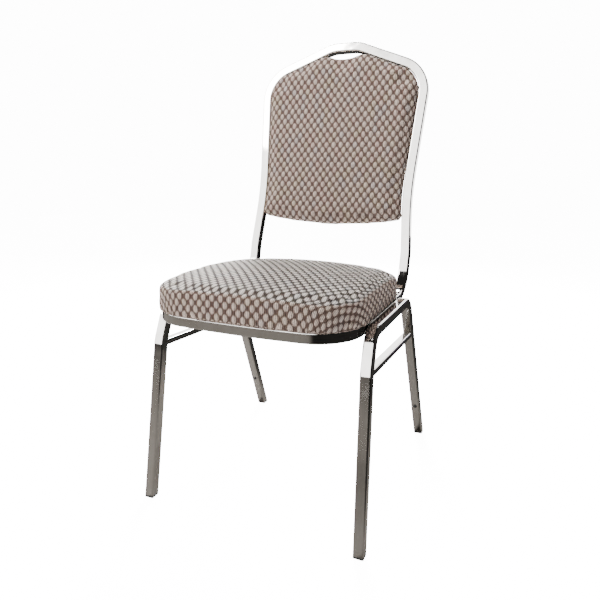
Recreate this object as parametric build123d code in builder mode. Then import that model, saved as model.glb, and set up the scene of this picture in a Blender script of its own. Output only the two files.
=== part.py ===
from build123d import *
import os
from math import sin, cos, tan, atan, radians

os.makedirs("parts", exist_ok=True)

# Driving dimensions in millimetres.
# X is across the chair, Y runs from the front to the rear, Z is up from the floor.
# The origin is the middle of the chair's outline on the floor.
FRONT_FOOT_Y = -256.2
TUBE = 20.0
TUBE_WALL = 1.2
TUBE_CORNER = 3.0
CLEAR = 0.3

# Leg frames: one bent tube on each side, leaning in towards the top.
FOOT_X = 221.0
LEG_LEAN = 0.036
LEG_TOE_OUT = 0.005
RAIL_CENTRE_Z = 383.0
LEG_KINK_Z = 322.0
FRONT_FOOT_S = 10.5
FRONT_SLOPE = 0.136
REAR_FOOT_S = 511.6
REAR_SLOPE = 0.4655
KINK_BEND = 60.0
FRONT_BEND = 36.0
REAR_BEND = 46.0
CAP_HEIGHT = 4.0
PLUG_Z = 96.0
VENT_Z = 326.0

# Seat frame and back: one continuous tube.
FRAME_HALF = 186.5
SEAT_RAIL_Z = 386.5
RECLINE = 13.28
BACK_ZERO_Y = FRONT_FOOT_Y + 421.3
BACK_ZERO_Z = 500.0
REAR_TURN = 75.0
CORNER_Y = FRONT_FOOT_Y + 3.0
BOW_POINT_Y = FRONT_FOOT_Y - 10.0
CORNER_BEND = 78.0
BOW_BEND = 1400.0
WAIST_HALF = 176.5
WAIST_V = 100.0
HIP_V = -28.0
SHOULDER_HALF = 193.5
SHOULDER_V = 373.0
HUMP_HALF = 75.0
HUMP_V = 419.5
CREST_HALF = 32.0
CREST_V = 437.0
SHOULDER_BEND = 74.0

# Seat upholstery. The cushion hangs a little over the outside of the frame tube.
BOARD_Z = SEAT_RAIL_Z + TUBE / 2 + 0.3
BOARD_THICK = 10.0
BOARD_GROW = 4.0
CUSHION_LOW = 394.2
CUSHION_TOP = 459.0
CUSHION_DOME = 1600.0
CUSHION_GROW = 14.5
CUSHION_REAR_Y = FRONT_FOOT_Y + 350.0
CUSHION_ROUND = 10.0
CUSHION_CORNER = 92.5
CUSHION_REAR_CORNER = 75.0
COVER_THICK = 1.5
BAR_WIDE = 25.0
BAR_THICK = 3.0
BAR_FRONT_Y = FRONT_FOOT_Y + 92.0
BAR_REAR_Y = FRONT_FOOT_Y + 285.0
SEAT_SCREW_X = 110.0

# Back upholstery, in the leaning plane of the uprights, forward is positive.
PANEL_GAP = 1.2
PANEL_LOW = 42.0
PANEL_BOW = 26.0
PANEL_FRONT = 20.0
PANEL_ROUND = 8.0
PANEL_SPLIT = -4.3
PANEL_REAR = -11.5
DIP_HALF = 46.0
DIP_V = 404.0
TAB_V = (95.0, 330.0)

# Stretchers.
STRETCH_WIDE = 16.0
STRETCH_TALL = 12.0
STRETCH_WALL = 1.0
STRETCH_FRONT_Z = 315.5
STRETCH_REAR_Z = 300.0


def leg_plane(side):
    lean = (1.0, -side * LEG_TOE_OUT, side * LEG_LEAN)
    origin = (side * FOOT_X, FRONT_FOOT_Y, 0)
    return Plane(origin=origin, x_dir=(side * LEG_TOE_OUT, 1, 0), z_dir=lean)


def leg_points():
    kink_s = FRONT_FOOT_S + FRONT_SLOPE * LEG_KINK_Z
    corner_s = kink_s + 0.4 * (RAIL_CENTRE_Z - LEG_KINK_Z)
    rear_s = REAR_FOOT_S - REAR_SLOPE * RAIL_CENTRE_Z
    low = -14.0
    return [
        (FRONT_FOOT_S + FRONT_SLOPE * low, low),
        (kink_s, LEG_KINK_Z),
        (corner_s, RAIL_CENTRE_Z),
        (rear_s, RAIL_CENTRE_Z),
        (REAR_FOOT_S - REAR_SLOPE * low, low),
    ]


def leg_body(side, size, corner):
    plane = leg_plane(side)
    with BuildPart() as body:
        with BuildLine(plane) as run:
            FilletPolyline(*leg_points(), radius=(KINK_BEND, FRONT_BEND, REAR_BEND))
        start = run.wire() @ 0
        along = run.wire() % 0
        with BuildSketch(Plane(origin=start, x_dir=plane.z_dir, z_dir=along)):
            RectangleRounded(size, size, corner)
        sweep(path=run.wire())
    return body.part


def rear_face_plane(side, height, across):
    slope = atan(REAR_SLOPE)
    s_centre = REAR_FOOT_S - REAR_SLOPE * height
    s_face = s_centre - TUBE / 2 * cos(slope)
    h_face = height - TUBE / 2 * sin(slope)
    plane = leg_plane(side)
    point = plane.from_local_coords((s_face, h_face, across))
    tip = plane.from_local_coords((s_face - cos(slope), h_face - sin(slope), across))
    return Plane(origin=point, x_dir=plane.z_dir, z_dir=tip - point)


def make_leg_frame(side, label):
    with BuildPart() as leg_frame:
        add(leg_body(1, TUBE, TUBE_CORNER))
        add(leg_body(1, TUBE - 2 * TUBE_WALL, TUBE_CORNER - TUBE_WALL), mode=Mode.SUBTRACT)
        with BuildSketch(rear_face_plane(1, PLUG_Z, 0)):
            Circle(3.6)
        extrude(amount=-4, mode=Mode.SUBTRACT)
        with BuildSketch(rear_face_plane(1, VENT_Z, 4.0)):
            Circle(2.0)
        extrude(amount=-4, mode=Mode.SUBTRACT)
        with Locations((0, 0, CAP_HEIGHT + 0.1 + 250)):
            Box(800, 1400, 500, mode=Mode.INTERSECT)
        if side < 0:
            mirror(about=Plane.YZ, mode=Mode.REPLACE)
    leg_frame.part.label = label
    export_step(leg_frame.part, "parts/" + label + ".step")
    return leg_frame.part


def make_foot_cap(side, rear, label):
    keep_y = FRONT_FOOT_Y + 400 if rear else FRONT_FOOT_Y
    with BuildPart() as foot_cap:
        add(leg_body(side, TUBE - 2 * TUBE_WALL - CLEAR, 1.4))
        with Locations((0, keep_y, CAP_HEIGHT / 2 + 10)):
            Box(800, 500, CAP_HEIGHT + 16, mode=Mode.INTERSECT)
        add(clipped_foot(side, keep_y))
        with Locations((0, keep_y, -50)):
            Box(800, 500, 100, mode=Mode.SUBTRACT)
        chamfer(foot_cap.faces().sort_by(Axis.Z)[0].edges(), 0.8)
    foot_cap.part.label = label
    export_step(foot_cap.part, "parts/" + label + ".step")
    return foot_cap.part


def clipped_foot(side, keep_y):
    with BuildPart() as foot:
        add(leg_body(side, TUBE, TUBE_CORNER))
        with Locations((0, keep_y, CAP_HEIGHT / 2)):
            Box(800, 500, CAP_HEIGHT, mode=Mode.INTERSECT)
    return foot.part


def make_leg_plugs():
    with BuildPart() as leg_plugs:
        for side in (-1, 1):
            face = rear_face_plane(side, PLUG_Z, 0)
            with BuildSketch(face):
                Circle(3.4)
            extrude(amount=-3.0)
            with BuildSketch(face.offset(0.1)):
                Circle(4.8)
            extrude(amount=1.6, taper=30)
    leg_plugs.part.label = "leg_plugs"
    export_step(leg_plugs.part, "parts/leg_plugs.step")
    return leg_plugs.part


def make_stretcher(side, label):
    front = leg_plane(side).from_local_coords((FRONT_FOOT_S + FRONT_SLOPE * STRETCH_FRONT_Z, STRETCH_FRONT_Z, 0))
    rear_s = REAR_FOOT_S - REAR_SLOPE * STRETCH_REAR_Z
    rear = leg_plane(side).from_local_coords((rear_s, STRETCH_REAR_Z, 0))
    run = rear - front
    with BuildPart() as stretcher:
        with BuildSketch(Plane(origin=front, x_dir=leg_plane(side).z_dir, z_dir=run)):
            RectangleRounded(STRETCH_WIDE, STRETCH_TALL, 2.0)
            inner_wide = STRETCH_WIDE - 2 * STRETCH_WALL
            inner_tall = STRETCH_TALL - 2 * STRETCH_WALL
            RectangleRounded(inner_wide, inner_tall, 1.0, mode=Mode.SUBTRACT)
        extrude(amount=run.length)
        add(leg_body(side, TUBE + CLEAR, TUBE_CORNER), mode=Mode.SUBTRACT)
    stretcher.part.label = label
    export_step(stretcher.part, "parts/" + label + ".step")
    return stretcher.part


def back_plane():
    up = (0, sin(radians(RECLINE)), cos(radians(RECLINE)))
    normal = (0, -cos(radians(RECLINE)), sin(radians(RECLINE)))
    return Plane(origin=(0, BACK_ZERO_Y, BACK_ZERO_Z), x_dir=(1, 0, 0), z_dir=normal)


def upright_end_v():
    drop = (BACK_ZERO_Z - SEAT_RAIL_Z) / cos(radians(RECLINE))
    return REAR_TURN * tan(radians(90 - RECLINE) / 2) - drop


def crown_points():
    half = [
        (FRAME_HALF, upright_end_v()),
        (FRAME_HALF, HIP_V),
        (WAIST_HALF, WAIST_V),
        (SHOULDER_HALF, SHOULDER_V),
        (HUMP_HALF, HUMP_V),
        (CREST_HALF, CREST_V),
    ]
    return half + [(-u, v) for u, v in reversed(half)]


def crown_radii():
    half = [120.0, 800.0, SHOULDER_BEND, 150.0, 70.0]
    return half + list(reversed(half))


def bend_low_y():
    corner = BACK_ZERO_Y - (BACK_ZERO_Z - SEAT_RAIL_Z) * tan(radians(RECLINE))
    return corner - REAR_TURN * tan(radians(90 - RECLINE) / 2)


def crown_body(size, corner):
    plane = back_plane()
    with BuildPart() as crown:
        with BuildLine(plane) as run:
            FilletPolyline(*crown_points(), radius=crown_radii())
        with BuildSketch(Plane(origin=run.wire() @ 0, x_dir=plane.z_dir, z_dir=run.wire() % 0)):
            RectangleRounded(size, size, corner)
        sweep(path=run.wire())
    return crown.part


def turn_body(side, size, corner):
    centre = Plane(
        origin=(side * FRAME_HALF, bend_low_y(), SEAT_RAIL_Z + REAR_TURN),
        x_dir=(0, 1, 0),
        z_dir=(1, 0, 0),
    )
    with BuildPart() as turn:
        with BuildLine(centre) as run:
            CenterArc((0, 0), REAR_TURN, -90, 90 - RECLINE)
        start = run.wire() @ 0
        with BuildSketch(Plane(origin=start, x_dir=(1, 0, 0), z_dir=run.wire() % 0)):
            RectangleRounded(size, size, corner)
        sweep(path=run.wire())
    return turn.part


def seat_rail_body(size, corner):
    points = [
        (FRAME_HALF, bend_low_y()),
        (FRAME_HALF, CORNER_Y),
        (0, BOW_POINT_Y),
        (-FRAME_HALF, CORNER_Y),
        (-FRAME_HALF, bend_low_y()),
    ]
    with BuildPart() as rails:
        with BuildLine(Plane.XY.offset(SEAT_RAIL_Z)) as run:
            FilletPolyline(*points, radius=(CORNER_BEND, BOW_BEND, CORNER_BEND))
        with BuildSketch(Plane(origin=run.wire() @ 0, x_dir=(1, 0, 0), z_dir=run.wire() % 0)):
            RectangleRounded(size, size, corner)
        sweep(path=run.wire())
    return rails.part


def loop_body(size, corner):
    with BuildPart() as loop:
        add(crown_body(size, corner))
        add(turn_body(1, size, corner))
        add(turn_body(-1, size, corner))
        add(seat_rail_body(size, corner))
    return loop.part


def make_back_seat_tube():
    with BuildPart() as back_seat_tube:
        add(loop_body(TUBE, TUBE_CORNER))
        add(loop_body(TUBE - 2 * TUBE_WALL, TUBE_CORNER - TUBE_WALL), mode=Mode.SUBTRACT)
    back_seat_tube.part.label = "back_seat_tube"
    export_step(back_seat_tube.part, "parts/back_seat_tube.step")
    return back_seat_tube.part


def seat_outline(grow, rear_y, corner, rear_corner):
    slope = atan((CORNER_Y - BOW_POINT_Y) / FRAME_HALF)
    side_x = FRAME_HALF + grow
    corner_y = CORNER_Y + grow * tan(slope) - grow / cos(slope)
    bow_y = BOW_POINT_Y - grow / cos(slope)
    points = [(0, bow_y), (side_x, corner_y), (side_x, rear_y), (-side_x, rear_y), (-side_x, corner_y)]
    radii = (BOW_BEND + grow, corner, rear_corner, rear_corner, corner)
    with BuildSketch() as outline:
        with BuildLine():
            FilletPolyline(*points, radius=radii, close=True)
        make_face()
    return outline.sketch


def cushion_body(inset):
    grow = CUSHION_GROW - inset
    rear_corner = CUSHION_REAR_CORNER - inset
    outline = seat_outline(grow, CUSHION_REAR_Y - inset, CUSHION_CORNER - inset, rear_corner)
    top = CUSHION_TOP - inset
    with BuildPart() as cushion:
        with BuildSketch(Plane.XY.offset(CUSHION_LOW)):
            add(outline)
        extrude(amount=top + 5 - CUSHION_LOW)
        with Locations((0, FRONT_FOOT_Y + 164, top - CUSHION_DOME)):
            Sphere(CUSHION_DOME, mode=Mode.INTERSECT)
        rim = cushion.faces().sort_by(Axis.Z)[-1].edges()
        fillet(rim, CUSHION_ROUND - inset)
    return cushion.part


def frame_space():
    with BuildPart() as space:
        with BuildSketch(Plane.XY.offset(CUSHION_LOW - 5)):
            add(seat_outline(TUBE / 2 + CLEAR, FRONT_FOOT_Y + 400, CORNER_BEND + TUBE / 2 + CLEAR, 10.0))
        extrude(amount=BOARD_Z - 0.1 - CUSHION_LOW + 5)
    return space.part


def make_seat_cover():
    with BuildPart() as seat_cover:
        add(cushion_body(0))
        add(cushion_body(COVER_THICK), mode=Mode.SUBTRACT)
        add(frame_space(), mode=Mode.SUBTRACT)
    seat_cover.part.label = "seat_cover"
    export_step(seat_cover.part, "parts/seat_cover.step")
    return seat_cover.part


def make_seat_foam():
    with BuildPart() as seat_foam:
        add(cushion_body(COVER_THICK + 0.1))
        add(frame_space(), mode=Mode.SUBTRACT)
        with BuildSketch(Plane.XY.offset(BOARD_Z - 5)):
            add(seat_outline(BOARD_GROW + 0.2, CUSHION_REAR_Y - 5.8, 82.0, 68.0))
        extrude(amount=BOARD_THICK + 0.2 + 5, mode=Mode.SUBTRACT)
        with Locations((0, 0, BOARD_Z + BOARD_THICK + 0.8)):
            with Locations(*seat_screw_spots()):
                Cylinder(10, 2.4, mode=Mode.SUBTRACT)
    seat_foam.part.label = "seat_foam"
    export_step(seat_foam.part, "parts/seat_foam.step")
    return seat_foam.part


def seat_screw_spots():
    return [(x, y) for x in (-SEAT_SCREW_X, SEAT_SCREW_X) for y in (BAR_FRONT_Y, BAR_REAR_Y)]


def make_seat_board():
    with BuildPart() as seat_board:
        with BuildSketch(Plane.XY.offset(BOARD_Z)):
            add(seat_outline(BOARD_GROW, CUSHION_REAR_Y - 6.0, 81.8, 67.8))
            with Locations(*seat_screw_spots()):
                Circle(4.1, mode=Mode.SUBTRACT)
        extrude(amount=BOARD_THICK)
    seat_board.part.label = "seat_board"
    export_step(seat_board.part, "parts/seat_board.step")
    return seat_board.part


def make_seat_dust_cover():
    with BuildPart() as seat_dust_cover:
        with BuildSketch(Plane.XY.offset(BOARD_Z - 0.9)):
            add(seat_outline(-11.0, CUSHION_REAR_Y - 12.0, 67.0, 56.0))
            with Locations(*seat_screw_spots()):
                Circle(4.1, mode=Mode.SUBTRACT)
        extrude(amount=0.7)
    seat_dust_cover.part.label = "seat_dust_cover"
    export_step(seat_dust_cover.part, "parts/seat_dust_cover.step")
    return seat_dust_cover.part


def make_cross_rail(bar_y, label):
    inside = FRAME_HALF - TUBE / 2 - 0.2
    with BuildPart() as cross_rail:
        with Locations((0, bar_y, BOARD_Z - 1.1 - BAR_THICK / 2)):
            Box(2 * inside, BAR_WIDE, BAR_THICK)
        with Locations((-SEAT_SCREW_X, bar_y, BOARD_Z), (SEAT_SCREW_X, bar_y, BOARD_Z)):
            Cylinder(3.3, 20, mode=Mode.SUBTRACT)
    cross_rail.part.label = label
    export_step(cross_rail.part, "parts/" + label + ".step")
    return cross_rail.part


def make_seat_screws():
    head_top = BOARD_Z - 1.3 - BAR_THICK
    with BuildPart() as seat_screws:
        with BuildSketch(Plane.XY.offset(head_top - 0.1)):
            with Locations(*seat_screw_spots()):
                Circle(3.0)
        extrude(amount=14.0)
        with BuildSketch(Plane.XY.offset(head_top)):
            with Locations(*seat_screw_spots()):
                Circle(6.0)
        extrude(amount=-3.4, taper=20)
        with BuildSketch(Plane.XY.offset(head_top - 3.4)):
            for x, y in seat_screw_spots():
                with Locations((x, y)):
                    Rectangle(5.0, 1.0)
                    Rectangle(1.0, 5.0)
        extrude(amount=1.6, mode=Mode.SUBTRACT)
    seat_screws.part.label = "seat_screws"
    export_step(seat_screws.part, "parts/seat_screws.step")
    return seat_screws.part


def make_seat_tee_nuts():
    with BuildPart() as seat_tee_nuts:
        with BuildSketch(Plane.XY.offset(BOARD_Z + 0.8)):
            with Locations(*seat_screw_spots()):
                Circle(4.0)
        extrude(amount=BOARD_THICK)
        with BuildSketch(Plane.XY.offset(BOARD_Z + BOARD_THICK + 0.1)):
            with Locations(*seat_screw_spots()):
                Circle(9.0)
        extrude(amount=1.2)
        with BuildSketch(Plane.XY.offset(BOARD_Z)):
            with Locations(*seat_screw_spots()):
                Circle(3.1)
        extrude(amount=BOARD_THICK + 5, mode=Mode.SUBTRACT)
    seat_tee_nuts.part.label = "seat_tee_nuts"
    export_step(seat_tee_nuts.part, "parts/seat_tee_nuts.step")
    return seat_tee_nuts.part


def upright_half(v):
    return FRAME_HALF + (WAIST_HALF - FRAME_HALF) * (v - HIP_V) / (WAIST_V - HIP_V)


def panel_outline(shrink):
    inset = TUBE / 2 + PANEL_GAP
    slope = atan((HUMP_V - SHOULDER_V) / (SHOULDER_HALF - HUMP_HALF))
    shoulder_u = SHOULDER_HALF - inset
    shoulder_v = SHOULDER_V + inset * tan(slope) - inset / cos(slope)
    dip_v = shoulder_v + (shoulder_u - DIP_HALF) * tan(slope)
    half = [
        (upright_half(PANEL_LOW) - inset, PANEL_LOW),
        (WAIST_HALF - inset, WAIST_V),
        (shoulder_u, shoulder_v),
        (DIP_HALF, dip_v),
    ]
    other = [(-u, v) for u, v in reversed(half)]
    points = [(0, PANEL_LOW - PANEL_BOW)] + half + [(0, DIP_V)] + other
    bends = [12.0, 520.0, SHOULDER_BEND - inset, 24.0]
    radii = [950.0] + bends + [85.0] + list(reversed(bends))
    with BuildSketch() as outline:
        with BuildLine():
            FilletPolyline(*points, radius=radii, close=True)
        make_face()
        if shrink:
            offset(amount=-shrink, mode=Mode.REPLACE)
    return outline.sketch


def panel_pad(shrink, low, high, rounding):
    with BuildPart() as pad:
        with BuildSketch(back_plane().offset(low)):
            add(panel_outline(shrink))
        extrude(amount=high - low)
        front = pad.faces().sort_by(Axis(back_plane().origin, back_plane().z_dir))[-1]
        fillet(front.edges(), rounding)
    return pad.part


def make_back_cover():
    with BuildPart() as back_cover:
        add(panel_pad(0, PANEL_SPLIT, PANEL_FRONT, PANEL_ROUND))
        inner = PANEL_FRONT - COVER_THICK
        add(panel_pad(COVER_THICK, PANEL_SPLIT, inner, PANEL_ROUND - COVER_THICK), mode=Mode.SUBTRACT)
    back_cover.part.label = "back_cover"
    export_step(back_cover.part, "parts/back_cover.step")
    return back_cover.part


def make_back_foam():
    with BuildPart() as back_foam:
        top = PANEL_FRONT - COVER_THICK - 0.1
        add(panel_pad(COVER_THICK + 0.1, 3.8, top, PANEL_ROUND - COVER_THICK - 0.1))
    back_foam.part.label = "back_foam"
    export_step(back_foam.part, "parts/back_foam.step")
    return back_foam.part


def tab_spots():
    return [(side, v) for side in (-1, 1) for v in TAB_V]


def tube_inside(v):
    if v < WAIST_V:
        return upright_half(v) - TUBE / 2
    rise = (v - WAIST_V) / (SHOULDER_V - WAIST_V)
    return WAIST_HALF + (SHOULDER_HALF - WAIST_HALF) * rise - TUBE / 2


def tab_centres():
    return [(side * (tube_inside(v) - 15.0), v) for side, v in tab_spots()]


def make_back_board():
    with BuildPart() as back_board:
        with BuildSketch(back_plane().offset(PANEL_SPLIT)):
            add(panel_outline(COVER_THICK + 0.3))
            with Locations(*tab_centres()):
                Circle(2.7, mode=Mode.SUBTRACT)
        extrude(amount=8.0)
    back_board.part.label = "back_board"
    export_step(back_board.part, "parts/back_board.step")
    return back_board.part


def make_back_tabs():
    with BuildPart() as back_tabs:
        with BuildSketch(back_plane().offset(PANEL_SPLIT - 0.2)):
            with Locations(*tab_centres()):
                Rectangle(22.0, 24.0)
            with Locations(*tab_centres()):
                Circle(2.8, mode=Mode.SUBTRACT)
        extrude(amount=-2.0)
    back_tabs.part.label = "back_tabs"
    export_step(back_tabs.part, "parts/back_tabs.step")
    return back_tabs.part


def make_back_screws():
    with BuildPart() as back_screws:
        with BuildSketch(back_plane().offset(PANEL_SPLIT - 2.4)):
            with Locations(*tab_centres()):
                Circle(2.4)
        extrude(amount=9.5)
        with BuildSketch(back_plane().offset(PANEL_SPLIT - 2.3)):
            with Locations(*tab_centres()):
                Circle(4.2)
        extrude(amount=-2.0, taper=25)
    back_screws.part.label = "back_screws"
    export_step(back_screws.part, "parts/back_screws.step")
    return back_screws.part


def make_back_rear_cover():
    with BuildPart() as back_rear_cover:
        with BuildSketch(back_plane().offset(PANEL_SPLIT - 0.1)):
            add(panel_outline(0))
        extrude(amount=PANEL_REAR - PANEL_SPLIT + 0.1)
        rear = back_rear_cover.faces().sort_by(Axis(back_plane().origin, back_plane().z_dir))[0]
        fillet(rear.edges(), 3.0)
        with BuildSketch(back_plane().offset(PANEL_SPLIT)):
            with Locations(*[(side * (tube_inside(v) - 12.0), v) for side, v in tab_spots()]):
                Rectangle(30.0, 26.0)
        extrude(amount=-5.0, mode=Mode.SUBTRACT)
    back_rear_cover.part.label = "back_rear_cover"
    export_step(back_rear_cover.part, "parts/back_rear_cover.step")
    return back_rear_cover.part


def make_weld_beads():
    bead_z = SEAT_RAIL_Z - TUBE / 2 - 1.8
    with BuildPart() as weld_beads:
        for side in (-1, 1):
            for y in (FRONT_FOOT_Y + 130, FRONT_FOOT_Y + 270):
                spot = Plane(origin=(side * (FRAME_HALF + 8.0), y, bead_z), z_dir=(0, 1, 0))
                with BuildSketch(spot):
                    Circle(1.6)
                extrude(amount=16, both=True)
    weld_beads.part.label = "weld_beads"
    export_step(weld_beads.part, "parts/weld_beads.step")
    return weld_beads.part


make_back_seat_tube()
make_leg_frame(-1, "leg_frame_left")
make_leg_frame(1, "leg_frame_right")
make_foot_cap(-1, False, "foot_cap_front_left")
make_foot_cap(1, False, "foot_cap_front_right")
make_foot_cap(-1, True, "foot_cap_rear_left")
make_foot_cap(1, True, "foot_cap_rear_right")
make_leg_plugs()
make_stretcher(-1, "stretcher_left")
make_stretcher(1, "stretcher_right")
make_seat_cover()
make_seat_foam()
make_seat_board()
make_seat_dust_cover()
make_cross_rail(BAR_FRONT_Y, "seat_cross_rail_front")
make_cross_rail(BAR_REAR_Y, "seat_cross_rail_rear")
make_seat_screws()
make_seat_tee_nuts()
make_back_cover()
make_back_foam()
make_back_board()
make_back_tabs()
make_back_screws()
make_back_rear_cover()
make_weld_beads()
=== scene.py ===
# %% [markdown]
# # Stacking chair
#
# The chair stands on the floor with its front towards -Y. The tubes, boards, screws and plastic caps
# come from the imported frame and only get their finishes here. The upholstery is rebuilt as soft pieces,
# because cloth pulled over foam is never as sharp as a board. Last come the floor, the light and the camera.

# %% Load the frame
import math

import bmesh
import bpy
from mathutils import Matrix, Vector


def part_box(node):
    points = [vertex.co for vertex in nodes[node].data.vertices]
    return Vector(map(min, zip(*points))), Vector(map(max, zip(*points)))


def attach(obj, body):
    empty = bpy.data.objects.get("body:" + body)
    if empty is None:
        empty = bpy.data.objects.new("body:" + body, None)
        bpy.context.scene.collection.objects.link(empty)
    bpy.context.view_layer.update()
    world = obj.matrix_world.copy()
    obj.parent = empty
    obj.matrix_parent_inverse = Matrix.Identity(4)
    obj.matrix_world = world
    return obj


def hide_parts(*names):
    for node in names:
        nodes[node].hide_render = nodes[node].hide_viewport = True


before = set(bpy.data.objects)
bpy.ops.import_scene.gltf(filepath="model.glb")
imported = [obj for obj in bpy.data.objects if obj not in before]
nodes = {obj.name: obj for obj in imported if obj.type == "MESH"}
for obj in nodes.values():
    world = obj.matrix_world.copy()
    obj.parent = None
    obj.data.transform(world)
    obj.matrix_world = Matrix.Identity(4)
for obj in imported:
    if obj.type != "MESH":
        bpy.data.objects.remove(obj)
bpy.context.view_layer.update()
scene = bpy.context.scene
print("nodes loaded:", len(nodes))

# %% [markdown]
# ## Small helpers for shader trees
#
# Every finish is a tree of shader nodes. Two helpers keep the trees readable: one adds a node and fills
# its inputs, and one starts a node group, which is a tree with its own named inputs and outputs.

# %% Node helpers


def add_node(tree, kind, fill=None, **settings):
    node = tree.nodes.new("ShaderNode" + kind)
    for name, value in settings.items():
        setattr(node, name, value)
    for key, value in (fill or {}).items():
        if isinstance(value, bpy.types.NodeSocket):
            tree.links.new(value, node.inputs[key])
        else:
            node.inputs[key].default_value = value
    return node


def math_node(tree, operation, first, second=0.0, third=0.0):
    return add_node(tree, "Math", {0: first, 1: second, 2: third}, operation=operation).outputs[0]


def vector_node(tree, operation, first, second=(0.0, 0.0, 0.0)):
    node = add_node(tree, "VectorMath", {0: first, 1: second}, operation=operation)
    return node.outputs["Value"] if operation == "LENGTH" else node.outputs["Vector"]


def remap(tree, value, low, high, to_low=0.0, to_high=1.0, smooth=True):
    kind = "SMOOTHSTEP" if smooth else "LINEAR"
    fill = {"Value": value, "From Min": low, "From Max": high, "To Min": to_low, "To Max": to_high}
    return add_node(tree, "MapRange", fill, interpolation_type=kind).outputs["Result"]


def mix_colour(tree, factor, first, second, blend="MIX"):
    node = add_node(tree, "Mix", {"Factor": factor}, data_type="RGBA", blend_type=blend)
    for socket, value in ((node.inputs[6], first), (node.inputs[7], second)):
        if isinstance(value, bpy.types.NodeSocket):
            tree.links.new(value, socket)
        else:
            socket.default_value = value
    return node.outputs[2]


def start_group(name, inputs, outputs):
    tree = bpy.data.node_groups.new(name, "ShaderNodeTree")
    for label, kind, value in inputs:
        socket = tree.interface.new_socket(label, in_out="INPUT", socket_type="NodeSocket" + kind)
        if value is not None:
            socket.default_value = value
    for label, kind in outputs:
        tree.interface.new_socket(label, in_out="OUTPUT", socket_type="NodeSocket" + kind)
    given = tree.nodes.new("NodeGroupInput")
    result = tree.nodes.new("NodeGroupOutput")
    return tree, given.outputs, result.inputs


def place_group(tree, group, fill):
    return add_node(tree, "Group", fill, node_tree=group).outputs


def start_material(name):
    material = bpy.data.materials.new(name)
    material.use_nodes = True
    tree = material.node_tree
    shader = tree.nodes["Principled BSDF"]
    place = add_node(tree, "TexCoord").outputs["Object"]
    return material, tree, shader, place


def bump(tree, shader, height, depth):
    node = add_node(tree, "Bump", {"Height": height, "Distance": depth, "Strength": 1.0})
    tree.links.new(node.outputs["Normal"], shader.inputs["Normal"])


# %% [markdown]
# ## Effects that several finishes share
#
# Smudges change how glossy a surface is, dust lies on the faces that look up, and the weave is the
# small checked cloth. The weave has light ribbed ovals, each one set between the four around it, on a
# darker ground. Every oval gets its own slight tint.

# %% Smudges and dust
smudge, given, result = start_group(
    "smudge",
    [
        ("Vector", "Vector", None),
        ("Scale", "Float", 40.0),
        ("Low", "Float", 0.05),
        ("High", "Float", 0.15),
    ],
    [("Roughness", "Float"), ("Mask", "Float")],
)
cloud = add_node(smudge, "TexNoise", {"Vector": given["Vector"], "Scale": given["Scale"], "Detail": 4.0})
streak_place = vector_node(smudge, "MULTIPLY", given["Vector"], (9.0, 9.0, 1.0))
streak = add_node(smudge, "TexNoise", {"Vector": streak_place, "Scale": given["Scale"], "Detail": 2.0})
streaky = math_node(smudge, "ADD", streak.outputs["Fac"], 0.5)
both = math_node(smudge, "MULTIPLY", cloud.outputs["Fac"], streaky)
mask = remap(smudge, both, 0.35, 0.72)
smudge.links.new(mask, result["Mask"])
rough = add_node(smudge, "MapRange", {"Value": mask, "To Min": given["Low"], "To Max": given["High"]})
smudge.links.new(rough.outputs["Result"], result["Roughness"])

DUST_TONE = (0.45, 0.42, 0.38, 1.0)
dust, given, result = start_group(
    "dust",
    [
        ("Vector", "Vector", None),
        ("Amount", "Float", 0.2),
        ("Colour", "Color", (0.0, 0.0, 0.0, 1.0)),
    ],
    [("Colour", "Color"), ("Mask", "Float")],
)
facing = add_node(dust, "SeparateXYZ", {0: add_node(dust, "NewGeometry").outputs["Normal"]})
specks = add_node(dust, "TexNoise", {"Vector": given["Vector"], "Scale": 260.0, "Detail": 5.0})
lying = math_node(dust, "MULTIPLY", remap(dust, facing.outputs["Z"], 0.2, 1.0), given["Amount"])
mask = math_node(dust, "MULTIPLY", lying, remap(dust, specks.outputs["Fac"], 0.4, 0.7))
dust.links.new(mask, result["Mask"])
dust.links.new(mix_colour(dust, mask, given["Colour"], DUST_TONE), result["Colour"])
print("shared effects:", smudge.name, dust.name)

# %% The weave
# A cell, in metres of cloth, holds one oval in the middle and a quarter of one at each corner.
CELL_WIDE = 0.0172
CELL_TALL = 0.0228
# The half sizes of an oval and the wander of the rows are in parts of a cell.
OVAL_WIDE = 0.295
OVAL_TALL = 0.33
WANDER = 0.10
RIBS = 5.0

weave, given, result = start_group(
    "weave",
    [
        ("UV", "Vector", None),
        ("Light", "Color", (0.6, 0.5, 0.43, 1.0)),
        ("Ground", "Color", (0.16, 0.11, 0.09, 1.0)),
        ("Tint", "Float", 0.3),
    ],
    [("Colour", "Color"), ("Height", "Float"), ("Roughness", "Float")],
)
cells = vector_node(weave, "MULTIPLY", given["UV"], (1.0 / CELL_WIDE, 1.0 / CELL_TALL, 0.0))
wander = add_node(weave, "TexNoise", {"Vector": cells, "Scale": 1.7, "Detail": 1.0})
wobble = vector_node(weave, "SUBTRACT", wander.outputs["Color"], (0.5, 0.5, 0.5))
cells = vector_node(weave, "ADD", cells, vector_node(weave, "MULTIPLY", wobble, (WANDER, WANDER, 0.0)))


def oval_set(tree, where):
    inside = vector_node(tree, "SUBTRACT", vector_node(tree, "FRACTION", where), (0.5, 0.5, 0.0))
    scaled = vector_node(tree, "MULTIPLY", inside, (1.0 / OVAL_WIDE, 1.0 / OVAL_TALL, 0.0))
    return vector_node(tree, "LENGTH", scaled), vector_node(tree, "FLOOR", where)


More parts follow.
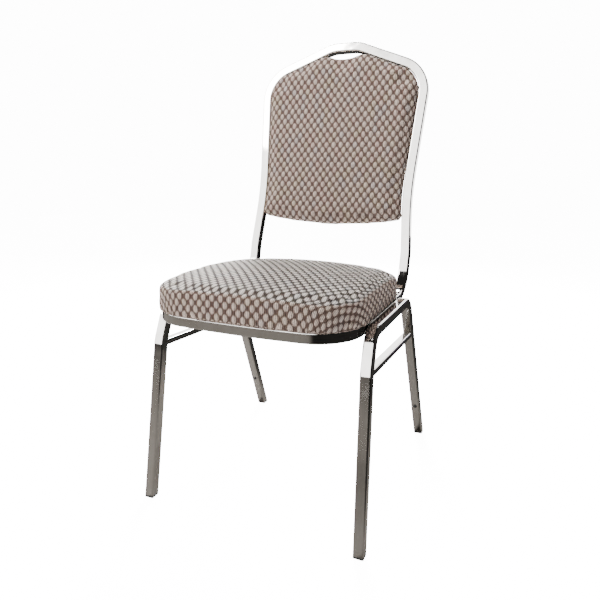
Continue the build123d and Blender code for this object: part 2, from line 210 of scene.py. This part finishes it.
far_a, id_a = oval_set(weave, cells)
shifted = vector_node(weave, "ADD", cells, (0.5, 0.5, 0.0))
far_b, id_b = oval_set(weave, shifted)
id_b = vector_node(weave, "ADD", id_b, (0.0, 0.0, 7.0))
near = math_node(weave, "MINIMUM", far_a, far_b)
second = math_node(weave, "LESS_THAN", far_b, far_a)
number = add_node(weave, "Mix", {"Factor": second, 4: id_a, 5: id_b}, data_type="VECTOR").outputs[1]
dye = add_node(weave, "TexWhiteNoise", {"Vector": number}, noise_dimensions="3D")

across = add_node(weave, "SeparateXYZ", {0: cells}).outputs["X"]
turns = math_node(weave, "MULTIPLY", across, RIBS * math.tau)
rib = math_node(weave, "MULTIPLY_ADD", math_node(weave, "SINE", turns), 0.5, 0.5)
hairs = vector_node(weave, "MULTIPLY", cells, (9.0, 3.0, 1.0))
fuzz = add_node(weave, "TexNoise", {"Vector": hairs, "Scale": 4.0, "Detail": 3.0}).outputs["Fac"]
oval = remap(weave, near, 1.14, 0.58)
dome = remap(weave, near, 1.25, 0.1)
# Painted shade: the yarn is darker in the grooves between its ribs, and the fuzz gives the fibres their own
# uneven tone.
rib_shade_and_fuzz = math_node(weave, "MULTIPLY_ADD", rib, 0.6, 0.5)
rib_shade_and_fuzz = math_node(weave, "MULTIPLY", rib_shade_and_fuzz, remap(weave, fuzz, 0.25, 0.75, 0.82, 1.12, smooth=False))

tints = add_node(weave, "ValToRGB", {"Fac": dye.outputs["Value"]})
ramp = tints.color_ramp
ramp.interpolation = "CONSTANT"
ramp.elements[0].color = (0.62, 0.52, 0.47, 1.0)
ramp.elements[1].position = 0.45
ramp.elements[1].color = (0.55, 0.37, 0.35, 1.0)
MORE_TINTS = (
    (0.62, (0.56, 0.5, 0.36, 1.0)),
    (0.76, (0.5, 0.52, 0.56, 1.0)),
    (0.86, (0.7, 0.6, 0.52, 1.0)),
)
for spot, colour in MORE_TINTS:
    ramp.elements.new(spot).color = colour
light = mix_colour(weave, given["Tint"], given["Light"], tints.outputs["Color"])
faint = math_node(weave, "MULTIPLY", given["Tint"], 0.25)
ground = mix_colour(weave, faint, given["Ground"], tints.outputs["Color"])
cloth = mix_colour(weave, oval, ground, light)
shade = add_node(weave, "CombineColor", {0: rib_shade_and_fuzz, 1: rib_shade_and_fuzz, 2: rib_shade_and_fuzz}).outputs[0]
weave.links.new(mix_colour(weave, 1.0, cloth, shade, "MULTIPLY"), result["Colour"])
height = math_node(weave, "MULTIPLY_ADD", dome, 0.7, math_node(weave, "MULTIPLY", rib, 0.3))
weave.links.new(height, result["Height"])
weave.links.new(remap(weave, fuzz, 0.2, 0.8, 0.78, 0.95, smooth=False), result["Roughness"])
print("weave group nodes:", len(weave.nodes))

# %% [markdown]
# ## Metals
#
# Chrome plate is almost a mirror. Its look comes from what it reflects, a faint haze of fingerprints, and
# the slight ripple that bending leaves in a tube. The cross rails under the seat are painted, and the
# screws are zinc plated, so both are duller.

# %% Chrome
chrome, tree, shader, place = start_material("chrome_plate")
film = place_group(tree, smudge, {"Vector": place, "Scale": 22.0, "Low": 0.05, "High": 0.13})
tree.links.new(film["Roughness"], shader.inputs["Roughness"])
tone = mix_colour(tree, film["Mask"], (0.80, 0.79, 0.77, 1.0), (0.72, 0.70, 0.67, 1.0))
tree.links.new(tone, shader.inputs["Base Color"])
shader.inputs["Metallic"].default_value = 1.0
ripple = add_node(tree, "TexNoise", {"Vector": place, "Scale": 26.0, "Detail": 1.0})
bump(tree, shader, ripple.outputs["Fac"], 0.0006)

# %% Weld, paint and zinc
weld, tree, shader, place = start_material("weld_bead")
film = place_group(tree, smudge, {"Vector": place, "Scale": 180.0, "Low": 0.18, "High": 0.4})
tree.links.new(film["Roughness"], shader.inputs["Roughness"])
tone = mix_colour(tree, film["Mask"], (0.6, 0.59, 0.57, 1.0), (0.32, 0.29, 0.26, 1.0))
tree.links.new(tone, shader.inputs["Base Color"])
shader.inputs["Metallic"].default_value = 1.0
scales = add_node(tree, "TexWave", {"Vector": place, "Scale": 260.0, "Distortion": 3.0}, bands_direction="Y")
bump(tree, shader, scales.outputs["Fac"], 0.0006)


def coated_metal(name, light, dark, metallic, low, high, grit, depth):
    # low and high bound the roughness, grit is how fine the grain is, and depth is how deep.
    material, tree, shader, place = start_material(name)
    film = place_group(tree, smudge, {"Vector": place, "Scale": 60.0, "Low": low, "High": high})
    tone = mix_colour(tree, film["Mask"], light, dark)
    lint = place_group(tree, dust, {"Vector": place, "Amount": 0.3, "Colour": tone})
    tree.links.new(lint["Colour"], shader.inputs["Base Color"])
    tree.links.new(film["Roughness"], shader.inputs["Roughness"])
    shader.inputs["Metallic"].default_value = metallic
    grain = add_node(tree, "TexNoise", {"Vector": place, "Scale": grit, "Detail": 3.0})
    bump(tree, shader, grain.outputs["Fac"], depth)
    return material


PAINT_LIGHT = (0.035, 0.034, 0.033, 1.0)
PAINT_DARK = (0.06, 0.056, 0.052, 1.0)
ZINC_LIGHT = (0.62, 0.63, 0.62, 1.0)
ZINC_DARK = (0.45, 0.44, 0.38, 1.0)
paint = coated_metal("black_paint", PAINT_LIGHT, PAINT_DARK, 0.0, 0.3, 0.5, 700.0, 0.0002)
zinc = coated_metal("zinc_plate", ZINC_LIGHT, ZINC_DARK, 1.0, 0.25, 0.45, 1500.0, 0.0001)
print("metals:", chrome.name, weld.name, paint.name, zinc.name)

# %% [markdown]
# ## Plastic, wood and the cloth below the seat
#
# Moulded plastic has a fine sparked grain. Plywood shows long grain on its faces and thin plies on its
# edge. The cloth below the seat is pressed from loose fibres, with the dimples of its rollers.

# %% Plastic
plastic, tree, shader, place = start_material("black_plastic")
film = place_group(tree, smudge, {"Vector": place, "Scale": 90.0, "Low": 0.38, "High": 0.55})
lint = place_group(tree, dust, {"Vector": place, "Amount": 0.35, "Colour": (0.012, 0.012, 0.013, 1.0)})
tree.links.new(lint["Colour"], shader.inputs["Base Color"])
tree.links.new(film["Roughness"], shader.inputs["Roughness"])
sparks = add_node(tree, "TexVoronoi", {"Vector": place, "Scale": 1400.0})
bump(tree, shader, sparks.outputs["Distance"], 0.00015)

# %% Plywood
PLY_PAIR = 0.0026
plywood, tree, shader, place = start_material("plywood")
long_place = vector_node(tree, "MULTIPLY", place, (1.0, 0.09, 1.0))
figure = add_node(tree, "TexNoise", {"Vector": long_place, "Scale": 90.0, "Detail": 6.0, "Distortion": 0.6})
height_of = add_node(tree, "SeparateXYZ", {0: place}).outputs["Z"]
plies = math_node(tree, "SINE", math_node(tree, "MULTIPLY", height_of, math.tau / PLY_PAIR))
edge = remap(tree, plies, -0.2, 0.2)
grain = remap(tree, figure.outputs["Fac"], 0.35, 0.65)
face = mix_colour(tree, grain, (0.56, 0.38, 0.22, 1.0), (0.72, 0.54, 0.35, 1.0))
wood = mix_colour(tree, math_node(tree, "MULTIPLY", edge, 0.35), face, (0.38, 0.23, 0.12, 1.0))
tree.links.new(wood, shader.inputs["Base Color"])
tree.links.new(remap(tree, figure.outputs["Fac"], 0.3, 0.7, 0.55, 0.75), shader.inputs["Roughness"])
bump(tree, shader, figure.outputs["Fac"], 0.0003)

# %% Dust cloth
dust_cloth, tree, shader, place = start_material("dust_cloth")
fibres = add_node(tree, "TexNoise", {"Vector": place, "Scale": 900.0, "Detail": 4.0, "Distortion": 2.0})
dimples = add_node(tree, "TexVoronoi", {"Vector": place, "Scale": 420.0}, feature="SMOOTH_F1")
thick = remap(tree, fibres.outputs["Fac"], 0.35, 0.7)
tone = mix_colour(tree, thick, (0.012, 0.012, 0.014, 1.0), (0.06, 0.06, 0.065, 1.0))
tree.links.new(tone, shader.inputs["Base Color"])
tree.links.new(remap(tree, fibres.outputs["Fac"], 0.3, 0.7, 0.8, 0.97), shader.inputs["Roughness"])
bump(tree, shader, math_node(tree, "ADD", fibres.outputs["Fac"], dimples.outputs["Distance"]), 0.0004)

# %% [markdown]
# ## Upholstery cloth
#
# The same cloth covers the seat and the back. It reads the piece's own UV map, which is measured in
# metres along the cloth, so the ovals keep their size where the cloth folds over an edge.
#
# Faces that look up get lighter yarn and darker gaps: a painted highlight on the ovals and painted shade in
# the gaps.
# That is a choice made for the look, because the light alone gives the seat too little contrast. It does not
# stand for wear or for a second cloth.

# %% Cloth
# Painted highlight and painted shade for faces that look up: lighter yarn and near-black gaps.
TOP_HIGHLIGHT_YARN = (0.86, 0.80, 0.74, 1.0)
TOP_SHADED_GROUND = (0.022, 0.014, 0.011, 1.0)


def make_cloth(name, light, ground, tint, depth):
    material, tree, shader, place = start_material(name)
    facing = add_node(tree, "SeparateXYZ", {0: add_node(tree, "NewGeometry").outputs["Normal"]})
    painted_top_light = remap(tree, facing.outputs["Z"], 0.7, 0.92)
    # Painted light: the more a face looks up, the lighter its yarn and the darker its gaps.
    light = mix_colour(tree, painted_top_light, light, TOP_HIGHLIGHT_YARN)
    ground = mix_colour(tree, painted_top_light, ground, TOP_SHADED_GROUND)
    uv = add_node(tree, "UVMap", uv_map="cloth").outputs["UV"]
    woven = place_group(tree, weave, {"UV": uv, "Light": light, "Ground": ground, "Tint": tint})
    lint = place_group(tree, dust, {"Vector": place, "Amount": 0.05, "Colour": woven["Colour"]})
    tree.links.new(lint["Colour"], shader.inputs["Base Color"])
    tree.links.new(woven["Roughness"], shader.inputs["Roughness"])
    shader.inputs["Specular IOR Level"].default_value = 0.25
    bump(tree, shader, woven["Height"], depth)
    return material


CLOTH_LIGHT = (0.74, 0.59, 0.50, 1.0)
CLOTH_GROUND = (0.10, 0.056, 0.042, 1.0)
cloth = make_cloth("checked_cloth", CLOTH_LIGHT, CLOTH_GROUND, 0.34, 0.003)
seat_cloth = make_cloth("checked_cloth_seat", CLOTH_LIGHT, CLOTH_GROUND, 0.2, 0.0035)
rear_cloth = make_cloth("checked_cloth_rear", CLOTH_LIGHT, CLOTH_GROUND, 0.3, 0.003)
print("cloths:", cloth.name, seat_cloth.name, rear_cloth.name)

# %% [markdown]
# ## Give the carried-over parts their finishes

# %% Finishes on the frame's nodes
FINISHES = {
    chrome: ("back_seat_tube", "leg_frame_left", "leg_frame_right", "stretcher_left", "stretcher_right"),
    weld: ("weld_beads",),
    paint: ("seat_cross_rail_front", "seat_cross_rail_rear", "back_tabs"),
    zinc: ("seat_screws", "seat_tee_nuts", "back_screws"),
    plastic: (
        "foot_cap_front_left",
        "foot_cap_front_right",
        "foot_cap_rear_left",
        "foot_cap_rear_right",
        "leg_plugs",
    ),
    plywood: ("seat_board", "back_board"),
    dust_cloth: ("seat_dust_cover",),
}
for finish, names in FINISHES.items():
    for name in names:
        part = nodes[name]
        if not part.material_slots:
            part.data.materials.append(finish)
        for slot in part.material_slots:
            slot.material = finish
print("finished nodes:", sum(len(names) for names in FINISHES.values()))

# %% [markdown]
# ## Upholstery
#
# Each pad starts as a copy of its foam. Voxel remeshing turns the copy into even squares of about 5 mm,
# which cloth needs to bend evenly. The cloth is then blown up a little from inside while its lower edge
# stays pinned, as foam does to a cover that is stapled down. How far a point may move is capped, and one
# level of subdivision rounds the squares off.

# %% Start a pad from its foam


def start_pad(name, source, reshape, voxel, material, prepare=None):
    build = bmesh.new()
    build.from_mesh(nodes[source].data)
    bmesh.ops.remove_doubles(build, verts=build.verts, dist=0.00005)
    if prepare:
        prepare(build)
    bmesh.ops.transform(build, matrix=reshape, verts=build.verts)
    bmesh.ops.recalc_face_normals(build, faces=build.faces)
    mesh = bpy.data.meshes.new(name)
    build.to_mesh(mesh)
    build.free()
    pad = bpy.data.objects.new(name, mesh)
    scene.collection.objects.link(pad)
    remesh = pad.modifiers.new("squares", "REMESH")
    remesh.mode = "VOXEL"
    remesh.voxel_size = voxel
    apply_shape(pad)
    build = bmesh.new()
    build.from_mesh(pad.data)
    every_axis = {"use_axis_x": True, "use_axis_y": True, "use_axis_z": True}
    for _ in range(2):
        bmesh.ops.smooth_vert(build, verts=build.verts, factor=0.5, **every_axis)
    build.to_mesh(pad.data)
    build.free()
    pad.data.materials.clear()
    pad.data.materials.append(material)
    return pad


def apply_shape(pad):
    graph = bpy.context.evaluated_depsgraph_get()
    shaped = bpy.data.meshes.new_from_object(pad.evaluated_get(graph))
    pad.modifiers.clear()
    pad.data = shaped


# %% Blow up a pad
SWELL_FRAMES = 20


def blow_up(pad, pinned, pressure, flat_cap, rise_cap, facing):
    # flat_cap limits the move across the way the pad faces, and rise_cap the move along it.
    group = pad.vertex_groups.new(name="pinned")
    group.add([v.index for v in pad.data.vertices if pinned(v.co)], 1.0, "REPLACE")
    before = [v.co.copy() for v in pad.data.vertices]
    swell = pad.modifiers.new("swell", "CLOTH")
    swell.settings.use_pressure = True
    swell.settings.uniform_pressure_force = pressure
    swell.settings.vertex_group_mass = "pinned"
    swell.settings.effector_weights.gravity = 0.0
    swell.point_cache.frame_start = 1
    swell.point_cache.frame_end = SWELL_FRAMES
    for step in range(1, SWELL_FRAMES + 1):
        scene.frame_set(step)
    graph = bpy.context.evaluated_depsgraph_get()
    after = [v.co.copy() for v in pad.evaluated_get(graph).data.vertices]
    pad.modifiers.remove(swell)
    scene.frame_set(1)
    for vert, old, new in zip(pad.data.vertices, before, after):
        move = new - old
        rise = move.dot(facing)
        slide = move - rise * facing
        if slide.length > flat_cap:
            slide = slide.normalized() * flat_cap
        rise = max(-0.5 * rise_cap, min(rise_cap, rise))
        vert.co = old + slide + rise * facing
    return max((new - old).length for old, new in zip(before, after))


# %% Measure the cloth


def lay_cloth(pad, flat, top):
    # flat turns a point into the pad's own plane, with its third number the height above the board.
    pad.data.update()
    normals = [flat.to_3x3() @ v.normal for v in pad.data.vertices]
    spots = [flat @ v.co for v in pad.data.vertices]
    layer = pad.data.uv_layers.new(name="cloth")
    for loop in pad.data.loops:
        spot = spots[loop.vertex_index]
        side = normals[loop.vertex_index].xy
        steep = max(0.0, min(1.0, (side.length - 0.35) / 0.45))
        fold = side.normalized() * steep * max(0.0, top - spot.z)
        layer.data[loop.index].uv = (spot.x + fold.x, spot.y + fold.y)


def finish_pad(pad, slot_name, fill, *stands_for):
    for face in pad.data.polygons:
        face.use_smooth = True
    smooth = pad.modifiers.new("round off", "SUBSURF")
    smooth.levels = 1
    smooth.render_levels = 1
    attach(pad, "root")
    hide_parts(*stands_for)
    print(pad.name, "squares:", len(pad.data.polygons))


# %% Seat cushion
SEAT_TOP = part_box("seat_cover")[1][2]
foam_from, foam_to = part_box("seat_foam")
seat_low = foam_from[2]
seat_middle = Vector((0.0, 0.5 * (foam_from[1] + foam_to[1]), seat_low))
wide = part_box("seat_cover")[1][0] / foam_to[0]
TALLER = 1.045
stretch = Matrix.Diagonal((wide, wide, TALLER, 1.0))
grow = Matrix.Translation(seat_middle) @ stretch @ Matrix.Translation(-seat_middle)
SQUARE = 0.005
LIP_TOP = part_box("seat_board")[0][2] + 0.0003
LIP_DEEPEN = 0.95


def deepen_lip(build):
    # The foam's lip outside the frame tube is too thin for squares of this size, so it reaches inwards.
    build.normal_update()
    for vert in build.verts:
        outward = vert.co - seat_middle
        outward.z = 0.0
        if vert.co.z < LIP_TOP and vert.normal.dot(outward) < 0.0:
            vert.co -= (1.0 - LIP_DEEPEN) * outward


seat = start_pad("seat_cushion", "seat_foam", grow, SQUARE, seat_cloth, deepen_lip)
straight_up = Vector((0.0, 0.0, 1.0))
seat_move = blow_up(seat, lambda p: p.z < seat_low + 0.022, 4.0, 0.0012, 0.0035, straight_up)
print("seat cloth moved", round(1000 * seat_move, 1), "mm")
lay_cloth(seat, Matrix.Identity(4), SEAT_TOP - 0.011)
finish_pad(seat, "woven_fabric", 0.8, "seat_cover", "seat_foam")

# %% [markdown]
# The back panel leans, so its pads are worked in a plane that leans with it: across, up the panel, and
# out towards the sitter. The front pad reaches from the foam's face back over the edge of the board. The
# rear pad is the same outline, turned over and pressed thin.

# %% Back pads
LEAN = math.radians(13.28)
box_low, box_high = (Vector(corner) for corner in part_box("back_board"))
panel_middle = 0.5 * (box_low + box_high)
out = Vector((0.0, -math.cos(LEAN), math.sin(LEAN)))
up = Vector((0.0, math.sin(LEAN), math.cos(LEAN)))
turn = Matrix((Vector((1.0, 0.0, 0.0)), up, out)).to_4x4()
board_faces = [(turn @ v.co).z for v in nodes["back_board"].data.vertices]
foam_faces = [(turn @ v.co).z for v in nodes["back_foam"].data.vertices]
board_rear, foam_rear, foam_front = min(board_faces), min(foam_faces), max(foam_faces)
rear_faces = [(turn @ v.co).z for v in nodes["back_rear_cover"].data.vertices]
planes = (board_rear, foam_rear, foam_front, min(rear_faces))
print("back planes (mm):", [round(1000 * d, 1) for d in planes])


def press(low, high, widen):
    # Moves the foam's rear face to low and its front face to high, and widens the outline a little.
    centre = turn @ panel_middle
    stretch = (high - low) / (foam_front - foam_rear)
    shift = Matrix.Translation(Vector((centre.x, centre.y, low)))
    back = Matrix.Translation(Vector((-centre.x, -centre.y, -foam_rear)))
    return turn.inverted() @ shift @ Matrix.Diagonal((widen, widen, stretch, 1.0)) @ back @ turn


back_shape = press(board_rear, foam_front + 0.0012, 1.012)
back = start_pad("back_pad", "back_foam", back_shape, SQUARE, cloth)
back_move = blow_up(back, lambda p: (turn @ p).z < board_rear + 0.003, 4.0, 0.0008, 0.005, out)
print("back cloth moved", round(1000 * back_move, 1), "mm")
lay_cloth(back, turn, foam_front)
finish_pad(back, "woven_fabric", 0.8, "back_cover", "back_foam")

THIN_SQUARE = 0.004
rear_shape = press(board_rear - 0.0002, min(rear_faces), 1.006)
rear = start_pad("back_rear_pad", "back_foam", rear_shape, THIN_SQUARE, rear_cloth)
rear_move = blow_up(rear, lambda p: (turn @ p).z > board_rear - 0.002, 2.0, 0.0006, 0.0015, out)
print("rear cloth moved", round(1000 * rear_move, 1), "mm")
lay_cloth(rear, turn, foam_front)
finish_pad(rear, "rear_fabric", 0.9, "back_rear_cover")

# %% [markdown]
# ## Studio
#
# Chrome shows its surroundings, so the studio matters as much as the metal. Seen directly, the room is
# plain white. Mirror rays see a white wall ahead, a dark ceiling and a dark right-hand side, which draws
# the black lines along the tubes. The floor is pale to the eye and much darker in the metal. No real room
# does both at once: the tones that mirror rays see are set apart, for the look.

# %% Room
BACKDROP = 14.0
world = bpy.data.worlds.new("studio")
scene.world = world
world.use_nodes = True
tree = world.node_tree
tree.nodes.clear()
path = add_node(tree, "LightPath")
toward = add_node(tree, "SeparateXYZ", {0: add_node(tree, "TexCoord").outputs["Generated"]})
ceiling = remap(tree, toward.outputs["Z"], 0.60, 0.64)
right = remap(tree, toward.outputs["X"], 0.25, 0.45)
dark = math_node(tree, "MAXIMUM", ceiling, right)
mirror_tone = mix_colour(tree, dark, (4.5, 4.45, 4.4, 1.0), (0.02, 0.019, 0.018, 1.0))
fill = mix_colour(tree, right, (0.36, 0.36, 0.37, 1.0), (0.08, 0.08, 0.08, 1.0))
room = mix_colour(tree, path.outputs["Is Glossy Ray"], fill, mirror_tone)
seen = mix_colour(tree, path.outputs["Is Camera Ray"], room, (BACKDROP, BACKDROP, BACKDROP, 1.0))
ground_light = add_node(tree, "Background", {"Color": seen, "Strength": 1.0})
add_node(tree, "OutputWorld", {"Surface": ground_light.outputs[0]})

# %% Floor
floor_mesh = bpy.data.meshes.new("floor")
build = bmesh.new()
bmesh.ops.create_grid(build, x_segments=1, y_segments=1, size=6.0)
build.to_mesh(floor_mesh)
build.free()
floor = bpy.data.objects.new("floor", floor_mesh)
scene.collection.objects.link(floor)
pale, tree, shader, place = start_material("pale_floor")
path = add_node(tree, "LightPath")
spot = add_node(tree, "SeparateXYZ", {0: place})
to_right = remap(tree, spot.outputs["X"], 0.2, 0.5)
to_rear = remap(tree, spot.outputs["Y"], 0.15, 0.5)
far_side = math_node(tree, "MAXIMUM", to_right, to_rear)
mirror_floor = mix_colour(tree, far_side, (0.105, 0.097, 0.088, 1.0), (0.01, 0.0095, 0.009, 1.0))
tone = mix_colour(tree, path.outputs["Is Glossy Ray"], (0.93, 0.93, 0.93, 1.0), mirror_floor)
tree.links.new(tone, shader.inputs["Base Color"])
glow = mix_colour(tree, path.outputs["Is Camera Ray"], (0.0, 0.0, 0.0, 1.0), (1.0, 1.0, 1.0, 1.0))
tree.links.new(glow, shader.inputs["Emission Color"])
shader.inputs["Emission Strength"].default_value = BACKDROP
shader.inputs["Roughness"].default_value = 0.9
shader.inputs["Specular IOR Level"].default_value = 0.0
floor.data.materials.append(pale)

# %% Lights


def add_light(name, place, target, size, power, tone):
    data = bpy.data.lights.new(name, "AREA")
    data.size = size
    data.energy = power
    data.color = tone
    lamp = bpy.data.objects.new(name, data)
    scene.collection.objects.link(lamp)
    lamp.location = place
    lamp.rotation_euler = (Vector(target) - Vector(place)).to_track_quat("-Z", "Y").to_euler()
    return lamp


CHAIR_MIDDLE = (0.0, 0.0, 0.45)
add_light("key", (-1.5, -1.7, 2.5), CHAIR_MIDDLE, 1.2, 92.0, (1.0, 0.98, 0.95))
add_light("rear_rim", (-0.7, 1.9, 1.7), CHAIR_MIDDLE, 0.8, 240.0, (1.0, 1.0, 1.0))
add_light("overhead", (-0.2, 0.1, 2.6), CHAIR_MIDDLE, 1.0, 55.0, (1.0, 1.0, 1.0)).visible_glossy = False

# %% Camera
# The turn is about the upright axis, the tilt is down from level, and the roll is about the view. All
# three are in degrees.
CAMERA_TURN = 23.307
CAMERA_TILT = 13.521
CAMERA_ROLL = 0.412
camera_data = bpy.data.cameras.new("camera")
camera_data.sensor_width = 36.0
camera_data.lens = 32.01
camera = bpy.data.objects.new("camera", camera_data)
scene.collection.objects.link(camera)
camera.location = (0.4373, -1.0149, 0.6447)
heading = Matrix.Rotation(math.radians(CAMERA_TURN), 3, "Z")
tilt = Matrix.Rotation(math.radians(90.0 - CAMERA_TILT), 3, "X")
roll = Matrix.Rotation(math.radians(CAMERA_ROLL), 3, "Z")
camera.rotation_euler = (heading @ tilt @ roll).to_euler()
scene.camera = camera
